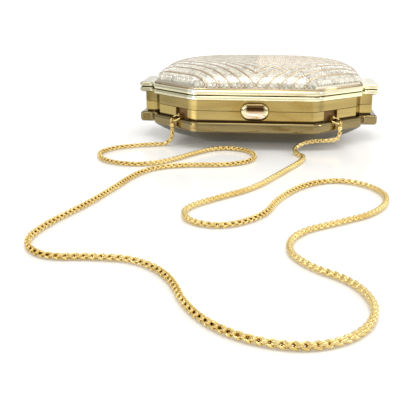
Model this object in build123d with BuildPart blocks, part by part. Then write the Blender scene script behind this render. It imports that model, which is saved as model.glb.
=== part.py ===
"""Evening bag: a hard metal clutch with a stone-set domed front, a push clasp and a chain strap.

Millimetres. X runs along the width, -Y is the clasp side, +Z is up. The bag lies shut on its
domed back, and the origin is under its middle, on the surface that it rests on.
"""
from build123d import *
from math import cos, pi, radians, sin, sqrt, tan
import os

os.makedirs("parts", exist_ok=True)

# ---------------------------------------------------------------- driving dimensions
WIDTH = 155.0  # over the two ears
DEPTH = 112.0  # clasp edge to hinge edge
CORNER_CUT = 28.0  # each way, at 45 degrees
EAR_REACH = 8.5  # how far an ear stands out at the side
NECK_OUT = 3.0  # the neck between corner and ear, across
NECK_LONG = 10.0  # and along the depth
RIM_HIGH = 6.5
FRONT_REEDS = 2  # rounded reeds in the rim's height
FRONT_ROUND = 1.55
BACK_REEDS = 1
BACK_ROUND = 1.9
SEAM_GAP = 0.3
GROOVE_HIGH = 0.9  # groove between the back half's wall and rim
GROOVE_DEEP = 0.6
WALL_HIGH = 6.5  # plain wall of one half, rim to seam
RIM_PROUD = 3.5  # how far the rim stands out from the wall
METAL = 1.2  # sheet thickness of the wall and the deck
CORNER_ROUND = 8.0
NECK_ROUND = 2.0
EAR_ROUND = 2.0
COVE_ROUND = 2.5  # inner corner between neck and ear

FRONT_CROWN = 14.0  # rise of the stone-set front above its rim
BACK_CROWN = 10.5  # rise of the plain back
FRONT_SHOULDER = 28.0  # width of the rounded border of the front's dome
BACK_SHOULDER = 29.0
FRONT_SWELL = 1.0  # 1 turns the border down as an ellipse does
BACK_SWELL = 2.0  # 2 is flatter, as a parabola is
DOME_STEPS = 6
PLATE = 1.0  # sheet thickness of a domed panel
PANEL_INSET = 3.0  # rim edge to panel edge
PANEL_SIDE = 2.3  # neck to panel edge at the sides
SEAT = 2.5  # width of the deck under a panel's edge

STONE_HIGH = 1.2  # depth of the stone rows
ROW_PITCH = 7.5  # from rib to rib along the depth
RIB_WIDE = 0.8
RIB_HIGH = 0.4
BORDER_HIGH = 1.0  # plain border that ties the ribs together

LINING = 1.2
LINING_INSET = 3.2  # panel edge to the lining's outside
LINING_SIDE = 6.7  # neck to the lining's outside, at the sides
LINING_GAP = 0.7  # between a panel and the lining under it
LINING_DROP = 0.3  # how far a lining stops short of the seam

KNUCKLE_RADIUS = 1.6
PIN_RADIUS = 0.8
PIN_FIT = 0.05  # radial clearance on the pin
KNUCKLES = 5
KNUCKLE_LONG = 12.0
KNUCKLE_GAP = 0.2
LEAF = 0.8
LEAF_REACH = 5.5

BUTTON_LONG = 17.0
BUTTON_HIGH = 10.5
BUTTON_DEEP = 3.0
BUTTON_PROUD = 2.3
BUTTON_FIT = 0.3
BUTTON_ROUND = 1.0
BUTTON_TRAVEL = 2.0
STEM_WIDE = 8.0
STEM_HIGH = 3.4
HOOK_THICK = 1.0
HOOK_SPAN = 28.0
HOOK_WIDE = 3.5
NOSE_HIGH = 0.8
LEDGE_HIGH = 1.0
LEDGE_DEEP = 1.3
LEDGE_WIDE = 4.5
LEDGE_RISE = 1.7  # seam to the ledge's underside
CATCH_GAP = 0.2  # ledge to nose, both ways, with the bag shut
SPRING_LONG = 5.0
SPRING_RADIUS = 1.3
SPRING_BORE = 0.9
SPRING_APART = 7.0
BRACKET = 1.0
BRACKET_HIGH = 5.2

CHAIN_DIAMETER = 3.0
SLOT_WIDE = 12.0
SLOT_SHIFT = 4.6  # slot middle, from the middle of the corner cut towards the clasp
DROP_SHIFT = 2.83  # chain end, from the same place
DROP_CLEAR = 2.54  # chain end, outside the rim
RING_RADIUS = 3.4
RING_WIRE = 0.55
RING_TILT = 24.0
LUG_THICK = 1.2
LUG_ROUND = 1.6
LUG_HOLE = 0.9
LUG_FOOT = 6.0
CAP_RADIUS = 1.8
CAP_LOW = 11.9
CAP_HIGH = 14.4
LOOP_RADIUS = 1.35
LOOP_WIRE = 0.42

# ---------------------------------------------------------------- worked-out places
HALF_DEPTH = DEPTH / 2
NECK_X = WIDTH / 2 - EAR_REACH
CUT_X = NECK_X - NECK_OUT
EDGE_X = CUT_X - CORNER_CUT
CUT_Y = HALF_DEPTH - CORNER_CUT
EAR_Y = CUT_Y - NECK_LONG
BACK_RIM = BACK_CROWN
BACK_WALL = BACK_RIM + RIM_HIGH
SEAM = BACK_WALL + WALL_HIGH
FRONT_WALL = SEAM + WALL_HIGH
FRONT_RIM = FRONT_WALL + RIM_HIGH
WALL_OUT = -HALF_DEPTH + RIM_PROUD  # outer face of the clasp wall
WALL_IN = WALL_OUT + METAL
CUT_DISTANCE = (HALF_DEPTH + EDGE_X) / sqrt(2)  # middle to the corner cut


# ---------------------------------------------------------------- outlines
def meet(first, second):
    """The point where two lines a*x + b*y = c cross."""
    a1, b1, c1 = first
    a2, b2, c2 = second
    scale = a1 * b2 - a2 * b1
    return ((c1 * b2 - c2 * b1) / scale, (a1 * c2 - a2 * c1) / scale)


def quarter_corners(inset):
    """Corners of the rim's outline in one quarter, from the clasp edge to the ear."""
    root = sqrt(2)
    neck = sqrt(NECK_OUT**2 + NECK_LONG**2)
    edge = (0.0, 1.0, HALF_DEPTH - inset)
    cut = (1 / root, 1 / root, CUT_DISTANCE - inset)
    neck_distance = (NECK_LONG * CUT_X + NECK_OUT * CUT_Y) / neck
    neck_line = (NECK_LONG / neck, NECK_OUT / neck, neck_distance - inset)
    ear_front = (0.0, 1.0, EAR_Y - inset)
    ear_side = (1.0, 0.0, WIDTH / 2 - inset)
    lines = [edge, cut, neck_line, ear_front, ear_side]
    return [meet(lines[i], lines[i + 1]) for i in range(4)]


def outline(inset):
    """The rim's outline as a face on the XY plane, moved inwards by inset."""
    corners = quarter_corners(inset)
    least = 0.3
    outer = [max(r - inset, least) for r in (CORNER_ROUND, NECK_ROUND)]
    rounds = [outer[0], outer[1], COVE_ROUND + inset, max(EAR_ROUND - inset, least)]
    right_back = list(zip(corners, rounds))
    right_front = [((x, -y), r) for (x, y), r in reversed(right_back)]
    right = right_back + right_front
    left = [((-x, y), r) for (x, y), r in reversed(right)]
    ring = right + left
    with BuildSketch() as face:
        with BuildLine():
            FilletPolyline(*[point for point, _ in ring], radius=[r for _, r in ring], close=True)
        make_face()
    return face.sketch


def octagon(inset, side=PANEL_SIDE):
    """The panel's eight corners, moved inwards by inset; side is its distance from the neck."""
    y1 = HALF_DEPTH - PANEL_INSET - inset
    x2 = NECK_X - side - inset
    cut = sqrt(2) * (CUT_DISTANCE - PANEL_INSET - inset)
    x1 = cut - y1
    y2 = cut - x2
    quarter = [(x1, y1), (x2, y2)]
    right = quarter + [(x, -y) for x, y in reversed(quarter)]
    return right + [(-x, y) for x, y in reversed(right)]


def dome(base, rise, inset, shoulder=FRONT_SHOULDER, swell=FRONT_SWELL, side=PANEL_SIDE):
    """A solid dome on the octagon: each layer is drawn in along a quarter turn."""
    with BuildPart() as solid:
        for step in range(DOME_STEPS + 1):
            turn = radians(90 * step / DOME_STEPS)
            level = base + rise * sin(turn) ** swell
            with BuildSketch(Plane.XY.offset(level)):
                Polygon(*octagon(inset + shoulder * (1 - cos(turn)), side), align=None)
        loft(ruled=True)
    return solid.part


# ---------------------------------------------------------------- the two casings
def half_casing(reeds, edge_round, groove):
    """Wall, reeded rim and deck of one half, drawn above the seam."""
    with BuildPart() as half:
        for k in range(reeds):
            with BuildPart(mode=Mode.PRIVATE) as reed:
                with BuildSketch(Plane.XY.offset(FRONT_WALL + k * RIM_HIGH / reeds)):
                    add(outline(0))
                extrude(amount=RIM_HIGH / reeds)
                fillet(reed.edges().filter_by(Plane.XY), edge_round)
            add(reed.part)
        with BuildSketch(Plane.XY.offset(SEAM + SEAM_GAP / 2)):
            add(outline(RIM_PROUD))
        extrude(amount=WALL_HIGH - SEAM_GAP / 2)
        if groove > 0:
            with BuildSketch(Plane.XY.offset(FRONT_WALL - GROOVE_HIGH)):
                add(outline(RIM_PROUD - 0.1))
                add(outline(RIM_PROUD + groove), mode=Mode.SUBTRACT)
            extrude(amount=GROOVE_HIGH, mode=Mode.SUBTRACT)
        with BuildSketch(Plane.XY.offset(SEAM)):
            add(outline(RIM_PROUD + METAL))
        extrude(amount=FRONT_RIM - METAL - SEAM, mode=Mode.SUBTRACT)
        with BuildSketch(Plane.XY.offset(FRONT_RIM - METAL)):
            Polygon(*octagon(SEAT), align=None)
        extrude(amount=METAL, mode=Mode.SUBTRACT)
    return half.part


def clasp_window():
    """A pill-shaped cutter for the clasp's window, through the clasp wall."""
    with BuildPart() as cutter:
        with BuildSketch(Plane((0, WALL_OUT - 1, SEAM), x_dir=(1, 0, 0), z_dir=(0, 1, 0))):
            SlotOverall(BUTTON_LONG + 2 * BUTTON_FIT, BUTTON_HIGH + 2 * BUTTON_FIT)
        extrude(amount=METAL + 2)
    return cutter.part


def cut_plane(along):
    """Plane square to the left corner cut: x outwards from the middle, y up."""
    side = Vector(-1, 1, 0).normalized()
    return Plane(side * along, x_dir=(-1, -1, 0), z_dir=(-1, 1, 0))


CUT_MIDDLE = (CORNER_CUT / 2 + EDGE_X - (HALF_DEPTH - CORNER_CUT / 2)) / sqrt(2)
SLOT_ALONG = CUT_MIDDLE - SLOT_SHIFT
DROP_ALONG = CUT_MIDDLE - DROP_SHIFT
DROP_OUT = CUT_DISTANCE + DROP_CLEAR

with BuildPart() as front_casing:
    add(half_casing(FRONT_REEDS, FRONT_ROUND, 0))
    add(clasp_window(), mode=Mode.SUBTRACT)

with BuildPart() as back_casing:
    mirror(half_casing(BACK_REEDS, BACK_ROUND, GROOVE_DEEP), about=Plane.XY.offset(SEAM))
    add(clasp_window(), mode=Mode.SUBTRACT)
    with BuildSketch(cut_plane(SLOT_ALONG - SLOT_WIDE / 2)):
        with Locations((CUT_DISTANCE - RIM_PROUD, BACK_WALL)):
            Rectangle(2 * RIM_PROUD, WALL_HIGH + 1, align=(Align.CENTER, Align.MIN))
    slot = extrude(amount=SLOT_WIDE, mode=Mode.SUBTRACT)
    mirror(slot, about=Plane.YZ, mode=Mode.SUBTRACT)

# ---------------------------------------------------------------- panels, ribs and stone rows
with BuildPart() as front_panel:
    add(dome(FRONT_RIM, FRONT_CROWN - STONE_HIGH, STONE_HIGH))
    add(dome(FRONT_RIM, FRONT_CROWN - STONE_HIGH - PLATE, STONE_HIGH + PLATE), mode=Mode.SUBTRACT)

with BuildPart() as back_panel:
    underside = Plane.XY.offset(BACK_RIM)
    mirror(dome(BACK_RIM, BACK_CROWN, 0, BACK_SHOULDER, BACK_SWELL), about=underside)
    hollow = dome(BACK_RIM, BACK_CROWN - PLATE, PLATE, BACK_SHOULDER, BACK_SWELL)
    mirror(hollow, about=underside, mode=Mode.SUBTRACT)

with BuildPart() as front_crystals:
    add(dome(FRONT_RIM, FRONT_CROWN - RIB_HIGH, RIB_HIGH))
    add(dome(FRONT_RIM, FRONT_CROWN - STONE_HIGH, STONE_HIGH), mode=Mode.SUBTRACT)

with BuildSketch(Plane.XY.offset(FRONT_RIM - 1)) as rib_plan:
    reach = WIDTH / 2
    slant = RIB_WIDE / sqrt(2)  # half a rib's width, measured along the depth
    rows = int((HALF_DEPTH + reach) / ROW_PITCH)
    for row in range(-rows, int(HALF_DEPTH / ROW_PITCH) + 1):
        tip = row * ROW_PITCH
        low = [(-reach, tip - slant + reach), (0, tip - slant), (reach, tip - slant + reach)]
        high = [(x, y + 2 * slant) for x, y in reversed(low)]
        Polygon(*low, *high, align=None)

with BuildPart() as rib_slats:
    extrude(rib_plan.sketch, amount=FRONT_CROWN + 2)
    with BuildSketch(Plane.XY.offset(FRONT_RIM)):
        Rectangle(WIDTH, DEPTH)
    extrude(amount=BORDER_HIGH)

with BuildPart() as front_ribs:
    add(dome(FRONT_RIM, FRONT_CROWN, 0))
    add(dome(FRONT_RIM, FRONT_CROWN - RIB_HIGH, RIB_HIGH), mode=Mode.SUBTRACT)
    add(rib_slats.part, mode=Mode.INTERSECT)


# ---------------------------------------------------------------- linings
def lining(rise, shell, shoulder, swell):
    """Half lining above the seam of a half whose rim tops at FRONT_RIM, before its clasp notch."""
    inset = LINING_INSET + shell
    wall = FRONT_RIM - SEAM - LINING_DROP
    with BuildPart() as solid:
        with BuildSketch(Plane.XY.offset(SEAM + LINING_DROP)):
            Polygon(*octagon(inset, LINING_SIDE - LINING_INSET), align=None)
        extrude(amount=wall)
        add(dome(FRONT_RIM, rise - shell, inset, shoulder, swell, LINING_SIDE - LINING_INSET))
    return solid.part


def clasp_room():
    """The space that the clasp needs in each lining."""
    wide = HOOK_SPAN + 2 * (LEAF + BRACKET + 1)
    deep = SPRING_LONG + 2 * BRACKET + HALF_DEPTH - abs(CATCH_Y) + 1
    with BuildPart() as room:
        with BuildSketch(Plane.XY.offset(SEAM - WALL_HIGH)):
            with Locations((0, -HALF_DEPTH)):
                Rectangle(wide, deep, align=(Align.CENTER, Align.MIN))
        extrude(amount=2 * WALL_HIGH)
    return room.part


# The clasp's hook plate stands behind the ledges, CATCH_GAP clear of them.
NOSE_TIP = WALL_IN + LEDGE_DEEP + CATCH_GAP
CATCH_Y = NOSE_TIP + HOOK_THICK + 0.25  # inner face of the hook plate
FRONT_RISE = FRONT_CROWN - STONE_HIGH - PLATE - LINING_GAP
BACK_RISE = BACK_CROWN - PLATE - LINING_GAP

with BuildPart() as front_lining:
    add(lining(FRONT_RISE, 0, FRONT_SHOULDER, FRONT_SWELL))
    add(lining(FRONT_RISE, LINING, FRONT_SHOULDER, FRONT_SWELL), mode=Mode.SUBTRACT)
    add(clasp_room(), mode=Mode.SUBTRACT)

with BuildPart() as back_lining:
    middle_plane = Plane.XY.offset(SEAM)
    mirror(lining(BACK_RISE, 0, BACK_SHOULDER, BACK_SWELL), about=middle_plane)
    hollow = lining(BACK_RISE, LINING, BACK_SHOULDER, BACK_SWELL)
    mirror(hollow, about=middle_plane, mode=Mode.SUBTRACT)
    add(clasp_room(), mode=Mode.SUBTRACT)

# ---------------------------------------------------------------- hinge on the +Y wall
AXIS_Y = HALF_DEPTH - RIM_PROUD + KNUCKLE_RADIUS + 0.1
HINGE_LONG = KNUCKLES * KNUCKLE_LONG


def hinge_leaf(first, up):
    """Every second knuckle from first, on a leaf that lies on the wall above or below the seam."""
    wall_face = HALF_DEPTH - RIM_PROUD
    clear = KNUCKLE_RADIUS + 0.3
    sign = 1 if up else -1
    with BuildPart() as leaf:
        with BuildSketch(Plane((0, wall_face, SEAM), x_dir=(1, 0, 0), z_dir=(0, -1, 0))):
            with Locations((0, sign * (clear + LEAF_REACH) / 2)):
                Rectangle(HINGE_LONG, LEAF_REACH - clear)
            for k in range(first, KNUCKLES, 2):
                with Locations(((k + 0.5) * KNUCKLE_LONG - HINGE_LONG / 2, sign * LEAF_REACH / 2)):
                    Rectangle(KNUCKLE_LONG - KNUCKLE_GAP, LEAF_REACH)
        extrude(amount=-LEAF)
        for k in range(first, KNUCKLES, 2):
            start = k * KNUCKLE_LONG - HINGE_LONG / 2 + KNUCKLE_GAP / 2
            with BuildSketch(Plane((start, AXIS_Y, SEAM), z_dir=(1, 0, 0))):
                Circle(KNUCKLE_RADIUS)
            extrude(amount=KNUCKLE_LONG - KNUCKLE_GAP)
        with BuildSketch(Plane((-HINGE_LONG / 2, AXIS_Y, SEAM), z_dir=(1, 0, 0))):
            Circle(PIN_RADIUS + PIN_FIT)
        extrude(amount=HINGE_LONG, mode=Mode.SUBTRACT)
    return leaf.part


with BuildPart() as hinge_leaf_back:
    add(hinge_leaf(0, False))

with BuildPart() as hinge_leaf_front:
    add(hinge_leaf(1, True))

with BuildPart() as hinge_pin:
    with BuildSketch(Plane((-HINGE_LONG / 2, AXIS_Y, SEAM), z_dir=(1, 0, 0))):
        Circle(PIN_RADIUS)
    extrude(amount=HINGE_LONG)

# ---------------------------------------------------------------- clasp
HEAD_BACK = WALL_OUT - BUTTON_PROUD + BUTTON_DEEP
STEM_TOP = SEAM - 1.3
STEM_MIDDLE = STEM_TOP - STEM_HIGH / 2
HOOK_FRONT = CATCH_Y - HOOK_THICK

with BuildPart() as clasp_button:
    with BuildSketch(Plane((0, HEAD_BACK, SEAM), x_dir=(1, 0, 0), z_dir=(0, -1, 0))):
        SlotOverall(BUTTON_LONG, BUTTON_HIGH)
    extrude(amount=BUTTON_DEEP)
    fillet(clasp_button.faces().sort_by(Axis.Y)[0].edges(), BUTTON_ROUND)
    with BuildSketch(Plane((0, HEAD_BACK, STEM_MIDDLE), x_dir=(1, 0, 0), z_dir=(0, -1, 0))):
        Rectangle(STEM_WIDE, STEM_HIGH)
    extrude(amount=-(HOOK_FRONT - HEAD_BACK))

with BuildPart() as clasp_hook:
    with BuildSketch(Plane((0, HOOK_FRONT, STEM_MIDDLE), x_dir=(1, 0, 0), z_dir=(0, -1, 0))):
        Rectangle(HOOK_SPAN, STEM_HIGH)
    extrude(amount=-HOOK_THICK)
    nose_low = SEAM + LEDGE_RISE + LEDGE_HIGH + CATCH_GAP
    for side in (-1, 1):
        arm_x = side * (HOOK_SPAN - HOOK_WIDE) / 2
        with BuildSketch(Plane.XY.offset(STEM_TOP)):
            with Locations((arm_x, HOOK_FRONT)):
                Rectangle(HOOK_WIDE, HOOK_THICK, align=(Align.CENTER, Align.MIN))
        extrude(amount=nose_low + NOSE_HIGH - STEM_TOP)
        with BuildSketch(Plane.XY.offset(nose_low)):
            with Locations((arm_x, NOSE_TIP)):
                Rectangle(HOOK_WIDE, HOOK_FRONT - NOSE_TIP + 0.1, align=(Align.CENTER, Align.MIN))
        extrude(amount=NOSE_HIGH)

with BuildPart() as clasp_striker:
    for side in (-1, 1):
        with BuildSketch(Plane.XY.offset(SEAM + LEDGE_RISE)):
            with Locations((side * (HOOK_SPAN - HOOK_WIDE) / 2, WALL_IN)):
                Rectangle(LEDGE_WIDE, LEDGE_DEEP, align=(Align.CENTER, Align.MIN))
        extrude(amount=LEDGE_HIGH)

with BuildPart() as clasp_bracket:
    inside = HOOK_SPAN / 2 + 1
    back = CATCH_Y + SPRING_LONG
    with BuildSketch(Plane.XY.offset(BACK_WALL + 0.8)):
        with Locations((0, WALL_IN)):
            outer_size = (2 * (inside + BRACKET), back + BRACKET - WALL_IN)
            Rectangle(*outer_size, align=(Align.CENTER, Align.MIN))
            inner_size = (2 * inside, back - WALL_IN)
            Rectangle(*inner_size, align=(Align.CENTER, Align.MIN), mode=Mode.SUBTRACT)
    extrude(amount=BRACKET_HIGH)

with BuildPart() as clasp_springs:
    for side in (-1, 1):
        spot = (side * SPRING_APART / 2, CATCH_Y, STEM_MIDDLE)
        with BuildSketch(Plane(spot, x_dir=(1, 0, 0), z_dir=(0, 1, 0))):
            Circle(SPRING_RADIUS)
            Circle(SPRING_BORE, mode=Mode.SUBTRACT)
        extrude(amount=SPRING_LONG)

# ---------------------------------------------------------------- chain fittings
# A lug stands in each slot, a ring hangs over the rim, and a cap holds the chain's end link.
RING_LOW = CAP_HIGH + LOOP_RADIUS + 0.2
EYE_OUT = DROP_OUT - 2 * RING_RADIUS * cos(radians(RING_TILT))
EYE_HIGH = RING_LOW + 2 * RING_RADIUS * sin(radians(RING_TILT))
RIM_INSIDE = CUT_DISTANCE - RIM_PROUD - METAL


def place(out, along, high):
    """A point by its distances out from the middle, along the left corner cut, and up."""
    return ((-out - along) / sqrt(2), (-out + along) / sqrt(2), high)


with BuildPart() as chain_lug_left:
    with BuildSketch(cut_plane(DROP_ALONG - LUG_THICK / 2)):
        with Locations((EYE_OUT, EYE_HIGH)):
            Circle(LUG_ROUND)
        with Locations((RIM_INSIDE, EYE_HIGH)):
            Rectangle(METAL, EYE_HIGH - BACK_RIM - 2 * METAL, align=(Align.MAX, Align.MAX))
        with Locations((EYE_OUT, EYE_HIGH)):
            Rectangle(EYE_OUT - RIM_INSIDE + METAL, LUG_ROUND, align=(Align.MAX, Align.MIN))
            Circle(LUG_HOLE, mode=Mode.SUBTRACT)
    extrude(amount=LUG_THICK)
    with BuildSketch(cut_plane(DROP_ALONG - LUG_FOOT / 2)):
        with Locations((RIM_INSIDE, BACK_RIM + 2 * METAL)):
            Rectangle(METAL, RIM_HIGH / 2, align=(Align.MAX, Align.MIN))
    extrude(amount=LUG_FOOT)

with BuildPart() as chain_lug_right:
    mirror(chain_lug_left.part, about=Plane.YZ)

with BuildPart() as jump_ring_left:
    middle_out = DROP_OUT - RING_RADIUS * cos(radians(RING_TILT))
    middle_high = RING_LOW + RING_RADIUS * sin(radians(RING_TILT))
    lean = radians(RING_TILT)
    ring_up = (-sin(lean) / sqrt(2), -sin(lean) / sqrt(2), cos(lean))
    with BuildSketch(Plane(place(middle_out, DROP_ALONG, middle_high), x_dir=(-1, 1, 0), z_dir=ring_up)):
        Circle(RING_RADIUS + RING_WIRE)
        Circle(RING_RADIUS - RING_WIRE, mode=Mode.SUBTRACT)
    extrude(amount=RING_WIRE, both=True)
    fillet(jump_ring_left.edges(), 0.9 * RING_WIRE)

with BuildPart() as jump_ring_right:
    mirror(jump_ring_left.part, about=Plane.YZ)

with BuildPart() as chain_end_left:
    with BuildSketch(Plane(place(DROP_OUT, DROP_ALONG, CAP_LOW))):
        Circle(CAP_RADIUS)
    extrude(amount=CAP_HIGH - CAP_LOW)
    fillet(chain_end_left.faces().sort_by(Axis.Z)[-1].edges(), 0.5)
    loop_middle = place(DROP_OUT, DROP_ALONG + LOOP_WIRE, CAP_HIGH + LOOP_RADIUS)
    with BuildSketch(Plane(loop_middle, x_dir=(-1, -1, 0), z_dir=(1, -1, 0))):
        Circle(LOOP_RADIUS + LOOP_WIRE)
        Circle(LOOP_RADIUS - LOOP_WIRE, mode=Mode.SUBTRACT)
    extrude(amount=2 * LOOP_WIRE)

with BuildPart() as chain_end_right:
    mirror(chain_end_left.part, about=Plane.YZ)

# ---------------------------------------------------------------- chain strap
# From the left cap, straight down, along the surface in loose curves, and up to the right cap.
LIE = CHAIN_DIAMETER / 2
ROUTE = [
    (-51.8, -45.8, CAP_LOW), (-51.8, -45.8, 6.0), (-55.4, -47.6, LIE), (-61.5, -49.4, LIE),
    (-73.0, -54.5, LIE), (-85.5, -63.0, LIE), (-91.5, -77.0, LIE), (-87.0, -93.0, LIE),
    (-75.0, -104.5, LIE), (-59.0, -106.5, LIE), (-45.5, -94.0, LIE), (-33.5, -71.0, LIE),
    (-22.0, -56.5, LIE), (-6.5, -58.5, LIE), (2.5, -74.0, LIE), (0.0, -92.0, LIE),
    (-13.5, -102.5, LIE), (-33.0, -104.0, LIE), (-50.0, -111.0, LIE), (-59.5, -129.0, LIE),
    (-64.0, -158.0, LIE), (-70.0, -189.0, LIE), (-79.0, -219.0, LIE), (-81.0, -243.0, LIE),
    (-68.5, -259.0, LIE), (-49.0, -256.5, LIE), (-32.5, -258.0, LIE), (-18.0, -273.0, LIE),
    (-9.0, -300.0, LIE), (6.0, -317.5, LIE), (27.0, -324.0, LIE), (43.5, -314.0, LIE),
    (50.5, -294.0, LIE), (45.0, -272.0, LIE), (29.0, -258.5, LIE), (21.0, -240.0, LIE),
    (26.0, -219.0, LIE), (43.0, -204.5, LIE), (60.5, -188.5, LIE), (69.0, -164.0, LIE),
    (64.0, -142.0, LIE), (47.5, -129.5, LIE), (30.0, -140.5, LIE), (16.5, -170.0, LIE),
    (12.0, -197.0, LIE), (-4.0, -216.0, LIE), (-20.5, -210.0, LIE), (-25.5, -191.0, LIE),
    (-13.0, -172.5, LIE), (5.0, -151.5, LIE), (18.0, -117.0, LIE), (28.0, -91.0, LIE),
    (30.5, -78.0, LIE), (25.8, -68.8, LIE), (24.4, -60.4, 2.6), (29.0, -53.2, 4.5),
    (36.4, -51.0, 5.8), (44.0, -50.5, 6.1), (49.3, -47.9, 6.1), (51.8, -45.8, 8.2),
    (51.8, -45.8, CAP_LOW),
]


def bend_radii(points):
    """At each corner, the largest arc that its two runs leave room for."""
    radii = []
    for before, here, after in zip(points, points[1:], points[2:]):
        first = Vector(*here) - Vector(*before)
        second = Vector(*after) - Vector(*here)
        half_turn = radians(first.get_angle(second)) / 2
        radii.append(0.45 * min(first.length, second.length) / tan(half_turn))
    return radii


RADII = bend_radii(ROUTE)
with BuildPart() as chain:
    with BuildLine() as chain_line:
        FilletPolyline(*ROUTE, radius=RADII)
    with BuildSketch(Plane(ROUTE[0], z_dir=(0, 0, -1))):
        Circle(CHAIN_DIAMETER / 2)
    sweep()

# ---------------------------------------------------------------- names and files
PARTS = {
    "back_casing": back_casing, "back_panel": back_panel, "back_lining": back_lining,
    "front_casing": front_casing, "front_panel": front_panel, "front_ribs": front_ribs,
    "front_crystals": front_crystals, "front_lining": front_lining,
    "hinge_leaf_back": hinge_leaf_back, "hinge_leaf_front": hinge_leaf_front,
    "hinge_pin": hinge_pin, "clasp_button": clasp_button, "clasp_hook": clasp_hook,
    "clasp_striker": clasp_striker, "clasp_bracket": clasp_bracket,
    "clasp_springs": clasp_springs, "chain_lug_left": chain_lug_left,
    "chain_lug_right": chain_lug_right, "jump_ring_left": jump_ring_left,
    "jump_ring_right": jump_ring_right, "chain_end_left": chain_end_left,
    "chain_end_right": chain_end_right, "chain": chain,
}
for label, piece in PARTS.items():
    piece.part.label = label
    export_step(piece.part, f"parts/{label}.step")

length = sum(edge.length for edge in chain_line.edges())
section = pi * CHAIN_DIAMETER**2 / 4
print("bend radii", [round(radius, 1) for radius in RADII])
print("chain length", round(length, 1), "volume ratio", round(chain.part.volume / section / length, 4))
print("height", round(FRONT_RIM + FRONT_CROWN, 2), "seam", SEAM)
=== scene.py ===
# %% [markdown]
# # A hard evening bag with rows of crystals and a chain strap
#
# The measured solids are loaded first and stay where they are. Every soft, set or linked thing is
# then made here as its own mesh: crystals, ribs, linings, back dome, button, springs, rings and
# chain. Distances are in metres, with +Z up and the clasp at -Y.

# %% Load the measured solids
import bmesh
import bpy
import math
import random
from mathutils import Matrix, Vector


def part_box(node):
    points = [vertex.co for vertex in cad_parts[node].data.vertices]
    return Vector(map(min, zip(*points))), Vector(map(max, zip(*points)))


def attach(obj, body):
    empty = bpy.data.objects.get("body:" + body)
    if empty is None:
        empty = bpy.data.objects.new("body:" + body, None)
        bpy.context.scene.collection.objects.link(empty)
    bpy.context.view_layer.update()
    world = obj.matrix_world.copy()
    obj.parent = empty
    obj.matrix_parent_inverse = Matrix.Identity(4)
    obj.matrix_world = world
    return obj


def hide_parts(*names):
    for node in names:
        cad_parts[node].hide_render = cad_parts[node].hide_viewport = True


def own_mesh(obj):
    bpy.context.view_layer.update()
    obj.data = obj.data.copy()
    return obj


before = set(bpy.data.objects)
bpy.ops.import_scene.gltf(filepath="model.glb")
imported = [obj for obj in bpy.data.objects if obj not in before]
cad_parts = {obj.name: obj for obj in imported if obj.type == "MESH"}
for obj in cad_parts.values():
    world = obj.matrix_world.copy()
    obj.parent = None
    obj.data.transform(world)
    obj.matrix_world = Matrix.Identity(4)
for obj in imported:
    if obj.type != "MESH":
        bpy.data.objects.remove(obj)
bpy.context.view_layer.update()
MM = 0.001
random.seed(7)

# %% [markdown]
# ## Materials
#
# Each material is a small node tree, which keeps its grain at any size, where a painted map would
# blur. Noise changes the roughness from place to place, and in most the colour too. A fine bump
# breaks up the reflections of the metals, except the button's, and roughens the cloth.

# %% Helpers for node materials
def new_tree(name):
    """A material with an empty principled shader, and handles to build on."""
    material = bpy.data.materials.new(name)
    material.use_nodes = True
    nodes = material.node_tree.nodes
    return material, nodes, material.node_tree.links, nodes["Principled BSDF"]


def noise(nodes, links, scale, detail=3.0, stretch=(1, 1, 1)):
    """Noise in the piece's own coordinates."""
    place = nodes.new("ShaderNodeTexCoord")
    mapping = nodes.new("ShaderNodeMapping")
    mapping.inputs["Scale"].default_value = stretch
    links.new(place.outputs["Object"], mapping.inputs["Vector"])
    texture = nodes.new("ShaderNodeTexNoise")
    texture.inputs["Scale"].default_value = scale
    texture.inputs["Detail"].default_value = detail
    links.new(mapping.outputs["Vector"], texture.inputs["Vector"])
    return texture.outputs["Fac"]


def ramp(nodes, links, value, stops):
    """A colour ramp from (position, colour) stops."""
    node = nodes.new("ShaderNodeValToRGB")
    while len(node.color_ramp.elements) < len(stops):
        node.color_ramp.elements.new(0.5)
    for element, (position, colour) in zip(node.color_ramp.elements, stops):
        element.position = position
        element.color = (*colour, 1)
    links.new(value, node.inputs["Fac"])
    return node.outputs["Color"]


def spread(nodes, links, value, low, high):
    """Moves the middle of a noise, 0.3..0.7, to low..high."""
    node = nodes.new("ShaderNodeMapRange")
    node.inputs["From Min"].default_value = 0.3
    node.inputs["From Max"].default_value = 0.7
    node.inputs["To Min"].default_value = low
    node.inputs["To Max"].default_value = high
    links.new(value, node.inputs["Value"])
    return node.outputs["Result"]


def bump(nodes, links, shader, value, strength, distance):
    """Feeds a value to the shader as a height."""
    node = nodes.new("ShaderNodeBump")
    node.inputs["Strength"].default_value = strength
    node.inputs["Distance"].default_value = distance
    links.new(value, node.inputs["Height"])
    links.new(node.outputs["Normal"], shader.inputs["Normal"])


def metal(name, light, deep, rough, grain=0.012, stretch=(1, 1, 1)):
    """Metal with a slow change of tone and a fine satin grain."""
    material, nodes, links, shader = new_tree(name)
    slow = noise(nodes, links, 45)
    fine = noise(nodes, links, 900, 4.0, stretch)
    links.new(ramp(nodes, links, slow, [(0.3, deep), (0.7, light)]), shader.inputs["Base Color"])
    links.new(spread(nodes, links, fine, rough[0], rough[1]), shader.inputs["Roughness"])
    shader.inputs["Metallic"].default_value = 1.0
    bump(nodes, links, shader, fine, grain, 0.0001)
    return material


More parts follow.
